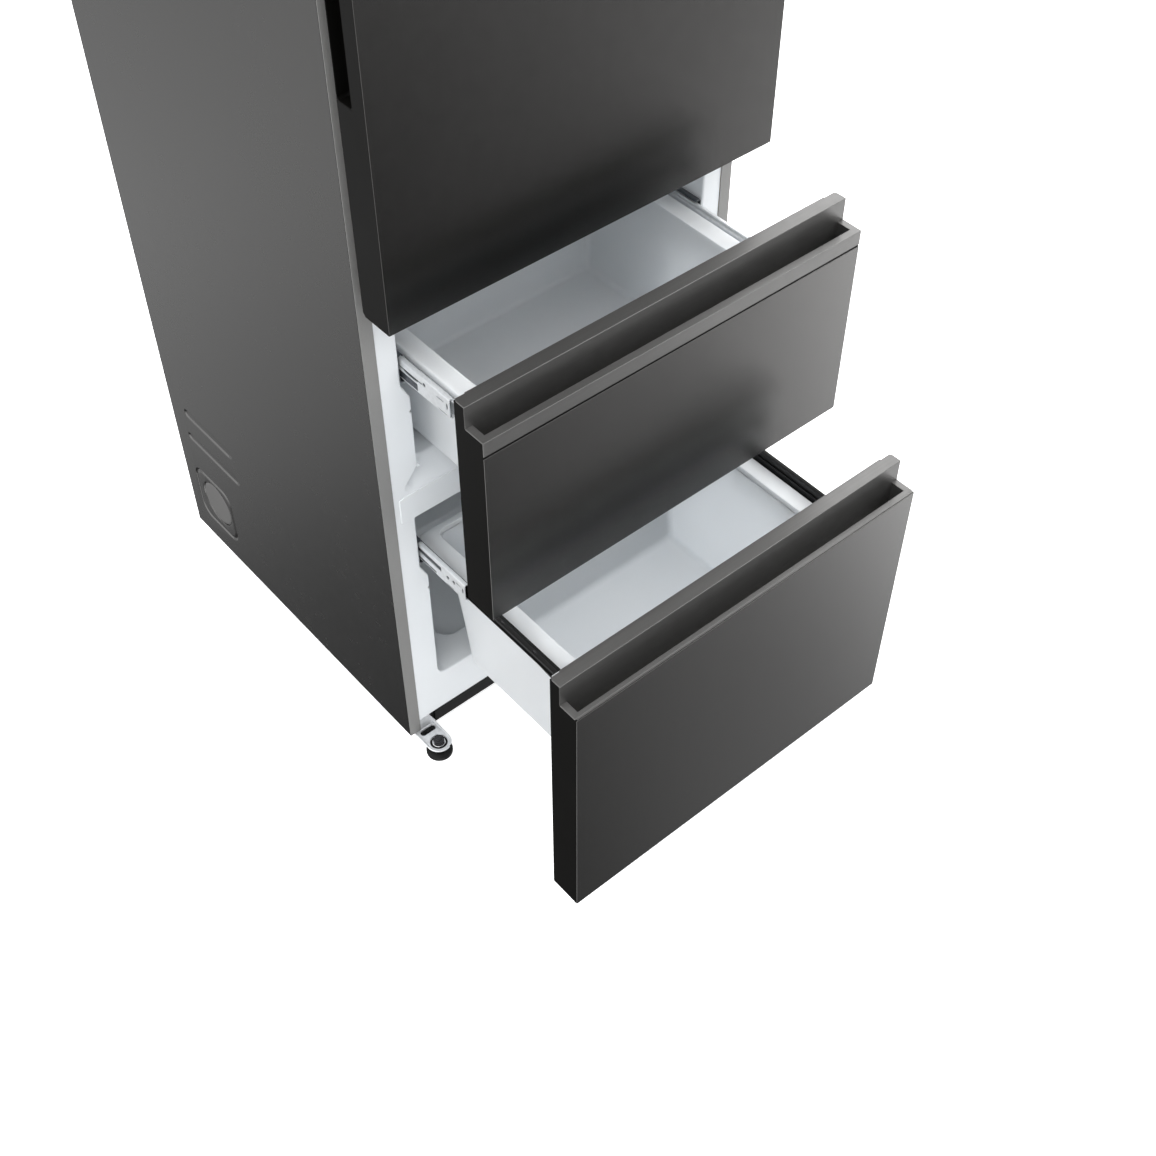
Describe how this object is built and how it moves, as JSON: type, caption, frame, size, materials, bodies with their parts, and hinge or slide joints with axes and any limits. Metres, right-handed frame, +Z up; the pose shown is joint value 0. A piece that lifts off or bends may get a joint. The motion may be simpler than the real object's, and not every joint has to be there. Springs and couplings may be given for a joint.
{
  "type": "multi-door refrigerator",
  "caption": "Free-standing refrigerator-freezer with a tall hinged door over two full-width freezer drawers on telescopic slides, shown with the drawers pulled out.",
  "frame": {"origin": "on the floor, under the middle of the whole object's box at rest (both drawers pulled out as in the picture)", "axes": "+X to the right seen from the front, +Y to the rear, +Z up"},
  "size_m": [0.595, 0.983, 1.85],
  "materials": {
    "shell_steel": "satin",
    "front_steel": "satin",
    "door_steel": "satin",
    "flange_steel": "satin",
    "handle_metal": "satin",
    "black_plastic": "satin",
    "black_steel": "satin",
    "white_plastic": "satin",
    "frosted_plastic": "satin",
    "clear_plastic": "gloss",
    "grey_seal": "matte",
    "foam": "matte",
    "zinc": "satin",
    "zinc_panel": "satin",
    "chrome_plate": "polished",
    "foot_rubber": "matte",
    "compressor_paint": "satin",
    "tube_steel": "satin",
    "fin_aluminium": "satin",
    "lamp_lens": "satin",
    "shelf_glass": "gloss",
    "grey_plastic": "matte"
  },
  "bodies": {
    "cabinet": {"outer_shell": "shell_steel", "front_frame": "flange_steel", "rear_panel": "zinc_panel", "cabinet_foam": "foam", "fridge_liner": "white_plastic", "freezer_liner": "white_plastic", "divider_rail": "white_plastic", "mullion_cover": "white_plastic", "base_tray": "black_steel", "front_base_rail": "black_steel", "foot_brackets": "chrome_plate", "roller_brackets": "zinc", "compressor": "compressor_paint", "condenser": "tube_steel", "drip_tray": "black_plastic", "compressor_cover": "black_steel", "electronics_box": "grey_plastic", "cord_gland": "foot_rubber", "evaporator": "fin_aluminium", "evaporator_cover": "white_plastic", "fan_motor": "grey_plastic", "fridge_air_duct": "white_plastic", "led_lamp": "lamp_lens", "control_panel": "black_plastic", "glass_shelves": "shelf_glass", "shelf_trims": "clear_plastic", "top_hinge": "zinc", "hinge_cover": "black_plastic", "middle_hinge": "zinc", "slide_cabinet_members": "zinc"},
    "door": {"door_panel": "door_steel", "door_frame": "black_plastic", "door_foam": "foam", "door_liner": "white_plastic", "door_gasket": "grey_seal", "door_bins": "clear_plastic"},
    "upper_drawer": {"upper_drawer_panel": "front_steel", "upper_drawer_frame": "black_plastic", "upper_drawer_handle": "handle_metal", "upper_drawer_foam": "foam", "upper_drawer_liner": "white_plastic", "upper_drawer_gasket": "grey_seal", "upper_basket": "frosted_plastic", "upper_drawer_rails": "zinc"},
    "lower_drawer": {"lower_drawer_panel": "front_steel", "lower_drawer_frame": "black_plastic", "lower_drawer_handle": "handle_metal", "lower_drawer_foam": "foam", "lower_drawer_liner": "white_plastic", "lower_drawer_gasket": "grey_seal", "lower_basket": "frosted_plastic", "lower_drawer_rails": "black_steel"},
    "upper_middle": {"upper_slide_middle": "zinc"},
    "lower_middle": {"lower_slide_middle": "zinc"},
    "crisper": {"crisper_drawer": "clear_plastic"},
    "fan": {"evaporator_fan": "black_plastic"},
    "foot_left": {"front_foot_left": "foot_rubber"},
    "foot_right": {"front_foot_right": "foot_rubber"},
    "roller_left": {"rear_roller_left": "black_plastic"},
    "roller_right": {"rear_roller_right": "black_plastic"}
  },
  "joints": [
    {"name": "door_hinge", "type": "hinge", "parent": "cabinet", "child": "door", "pos_m": [0.285, -0.1475, 1.332], "axis": [0, 0, 1], "range_deg": [0, 115]},
    {"name": "upper_drawer_slide", "type": "slide", "parent": "cabinet", "child": "upper_drawer", "axis": [0, -1, 0], "range_m": [-0.1643, 0.2357]},
    {"name": "lower_drawer_slide", "type": "slide", "parent": "cabinet", "child": "lower_drawer", "axis": [0, -1, 0], "range_m": [-0.3201, 0.0799]},
    {"name": "upper_slide_middle_travel", "type": "slide", "parent": "cabinet", "child": "upper_middle", "axis": [0, -1, 0], "range_m": [-0.0823, 0.118]},
    {"name": "lower_slide_middle_travel", "type": "slide", "parent": "cabinet", "child": "lower_middle", "axis": [0, -1, 0], "range_m": [-0.1602, 0.0401]},
    {"name": "crisper_slide", "type": "slide", "parent": "cabinet", "child": "crisper", "axis": [0, -1, 0], "range_m": [0, 0.064]},
    {"name": "evaporator_fan_spin", "type": "hinge", "parent": "cabinet", "child": "fan", "pos_m": [0, 0.2925, 0.73], "axis": [0, 1, 0], "continuous": true},
    {"name": "front_foot_left_turn", "type": "hinge", "parent": "cabinet", "child": "foot_left", "pos_m": [-0.271, -0.1415, 0], "axis": [0, 0, 1], "continuous": true},
    {"name": "front_foot_right_turn", "type": "hinge", "parent": "cabinet", "child": "foot_right", "pos_m": [0.271, -0.1415, 0], "axis": [0, 0, 1], "continuous": true},
    {"name": "rear_roller_left_spin", "type": "hinge", "parent": "cabinet", "child": "roller_left", "pos_m": [-0.239, 0.4675, 0.0155], "axis": [1, 0, 0], "continuous": true},
    {"name": "rear_roller_right_spin", "type": "hinge", "parent": "cabinet", "child": "roller_right", "pos_m": [0.239, 0.4675, 0.0155], "axis": [1, 0, 0], "continuous": true}
  ],
  "couplings": [
    {"joint": "upper_slide_middle_travel", "follows": "upper_drawer_slide", "ratio": 0.5},
    {"joint": "lower_slide_middle_travel", "follows": "lower_drawer_slide", "ratio": 0.5}
  ]
}
